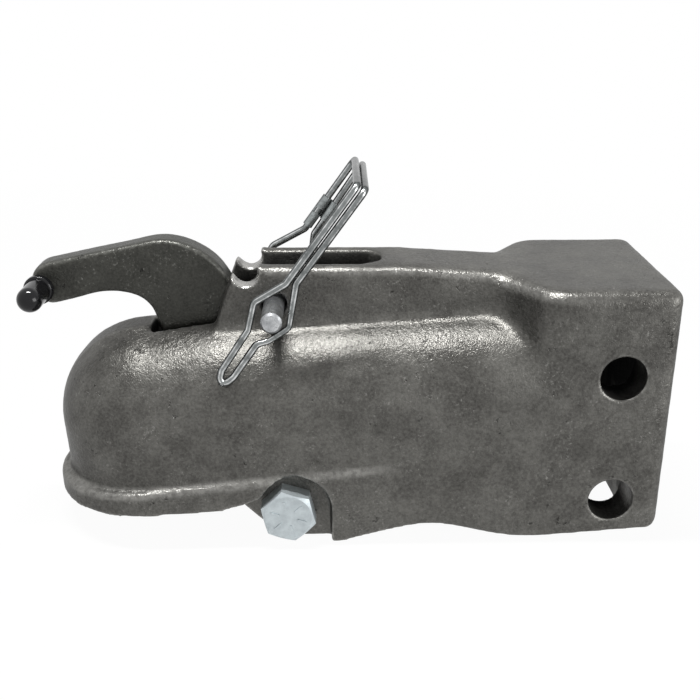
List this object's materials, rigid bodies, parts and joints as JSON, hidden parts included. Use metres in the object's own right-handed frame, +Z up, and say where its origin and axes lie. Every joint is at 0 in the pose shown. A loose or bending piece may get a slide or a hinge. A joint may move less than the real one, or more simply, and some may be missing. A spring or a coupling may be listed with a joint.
{
  "type": "trailer ball coupler",
  "caption": "Cast trailer coupler head for a ball hitch: round ball socket, lever latch with an inner clamp, wire-bail lock pin, and a side-drilled block for a channel",
  "frame": {"origin": "centre of the ball socket", "axes": "+X towards the channel end, +Z up through the lever slot, +Y towards the nut side; the bolt head and the pin's tip are on the -Y side"},
  "size_m": [0.2453, 0.0961, 0.1401],
  "materials": {
    "cast_housing": "as cast, sandy, lightly oiled",
    "forged_lever": "as cast, darker and smoother",
    "cast_clamp": "as cast",
    "bare_steel": "turned, oiled",
    "zinc_bolt": "bright zinc, slightly blue",
    "nylon_insert": "matt",
    "spring_steel": "dark oiled",
    "black_grip": "gloss, dipped",
    "zinc_pin": "bright zinc, pale speckled end",
    "zinc_wire": "bright zinc, drawn",
    "zinc_sheet": "bright zinc"
  },
  "bodies": {
    "housing": {"housing": "cast_housing", "pivot_bolt": "zinc_bolt", "pivot_sleeve": "bare_steel", "pivot_spacer": "bare_steel", "nut_washer": "zinc_bolt", "lock_nut": "zinc_bolt", "nut_insert": "nylon_insert", "return_spring": "spring_steel"},
    "latch": {"lever": "forged_lever", "ball_clamp": "cast_clamp", "clamp_pins": "bare_steel", "lever_knob": "black_grip", "knob_stud": "bare_steel"},
    "lock_pin": {"lock_pin": "zinc_pin"},
    "bail": {"bail_wire": "zinc_wire", "bail_clip": "zinc_sheet"}
  },
  "joints": [
    {"name": "latch_swing", "type": "hinge", "parent": "housing", "child": "latch", "pos_m": [0.0542, 0, -0.0285], "axis": [0, 1, 0], "range_deg": [0, 34], "stiffness_Nm_per_rad": 1.2, "springref_deg": -17.19, "deforming": ["return_spring"]},
    {"name": "lock_pin_pull", "type": "slide", "parent": "housing", "child": "lock_pin", "axis": [0, 1, 0], "range_m": [0, 0.2]},
    {"name": "bail_swing", "type": "hinge", "parent": "lock_pin", "child": "bail", "pos_m": [0.0494, 0.02115, 0.0481], "axis": [-0.848, 0, 0.53], "range_deg": [0, 110], "deforming": ["bail_wire"]}
  ],
  "couplings": [
    {"joint": "lock_pin_pull", "follows": "latch_swing", "m_per_rad": 0.337}
  ]
}
